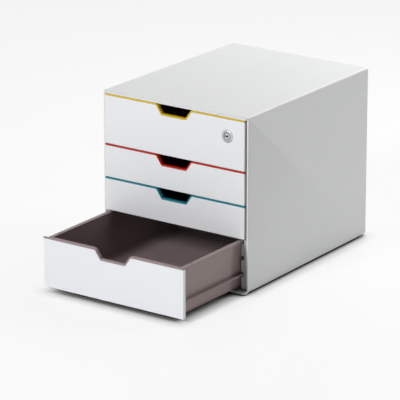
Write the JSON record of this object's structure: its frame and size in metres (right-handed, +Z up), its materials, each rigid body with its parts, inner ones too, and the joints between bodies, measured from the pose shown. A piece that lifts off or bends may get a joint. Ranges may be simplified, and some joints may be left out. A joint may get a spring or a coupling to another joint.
{
  "type": "desktop drawer box",
  "caption": "Desktop drawer box with pale fronts over coloured trays, finger notches, moulded runners and a cam lock in the top drawer; the bottom drawer is pulled out.",
  "frame": {"origin": "on the table plane under the middle of the housing, half way between the front edges of its side walls and its back", "axes": "+Z up, -Y the way the drawers pull out, +X to the right of someone facing the fronts"},
  "size_m": [0.28, 0.5247, 0.292],
  "materials": {
    "housing_plastic": "fine satin moulding",
    "runner_plastic": "fine satin moulding",
    "front_plastic": "fine satin moulding",
    "yellow_plastic": "satin",
    "red_plastic": "satin",
    "teal_plastic": "satin",
    "taupe_plastic": "satin",
    "chrome_plate": "bright",
    "zinc_steel": "zinc plated",
    "foot_rubber": "matte"
  },
  "bodies": {
    "cabinet": {"housing": "housing_plastic", "runner_left": "runner_plastic", "runner_right": "runner_plastic", "foot_front_left": "foot_rubber", "foot_front_right": "foot_rubber", "foot_back_left": "foot_rubber", "foot_back_right": "foot_rubber"},
    "drawer_1": {"tray_1": "yellow_plastic", "front_1": "front_plastic", "lock_body": "chrome_plate", "lock_nut": "zinc_steel"},
    "drawer_2": {"tray_2": "red_plastic", "front_2": "front_plastic"},
    "drawer_3": {"tray_3": "teal_plastic", "front_3": "front_plastic"},
    "drawer_4": {"tray_4": "taupe_plastic", "front_4": "front_plastic"},
    "lock_plug": {"lock_core": "chrome_plate", "lock_cam": "zinc_steel", "cam_washer": "zinc_steel", "cam_screw": "zinc_steel"}
  },
  "joints": [
    {"name": "drawer_1_slide", "type": "slide", "parent": "cabinet", "child": "drawer_1", "axis": [0, -1, 0], "range_m": [0, 0.26]},
    {"name": "drawer_2_slide", "type": "slide", "parent": "cabinet", "child": "drawer_2", "axis": [0, -1, 0], "range_m": [0, 0.26]},
    {"name": "drawer_3_slide", "type": "slide", "parent": "cabinet", "child": "drawer_3", "axis": [0, -1, 0], "range_m": [0, 0.26]},
    {"name": "drawer_4_slide", "type": "slide", "parent": "cabinet", "child": "drawer_4", "axis": [0, -1, 0], "range_m": [-0.165, 0.095]},
    {"name": "lock_turn", "type": "hinge", "parent": "drawer_1", "child": "lock_plug", "pos_m": [0.103, -0.1817, 0.2569], "axis": [0, 1, 0], "range_deg": [0, 90]}
  ]
}
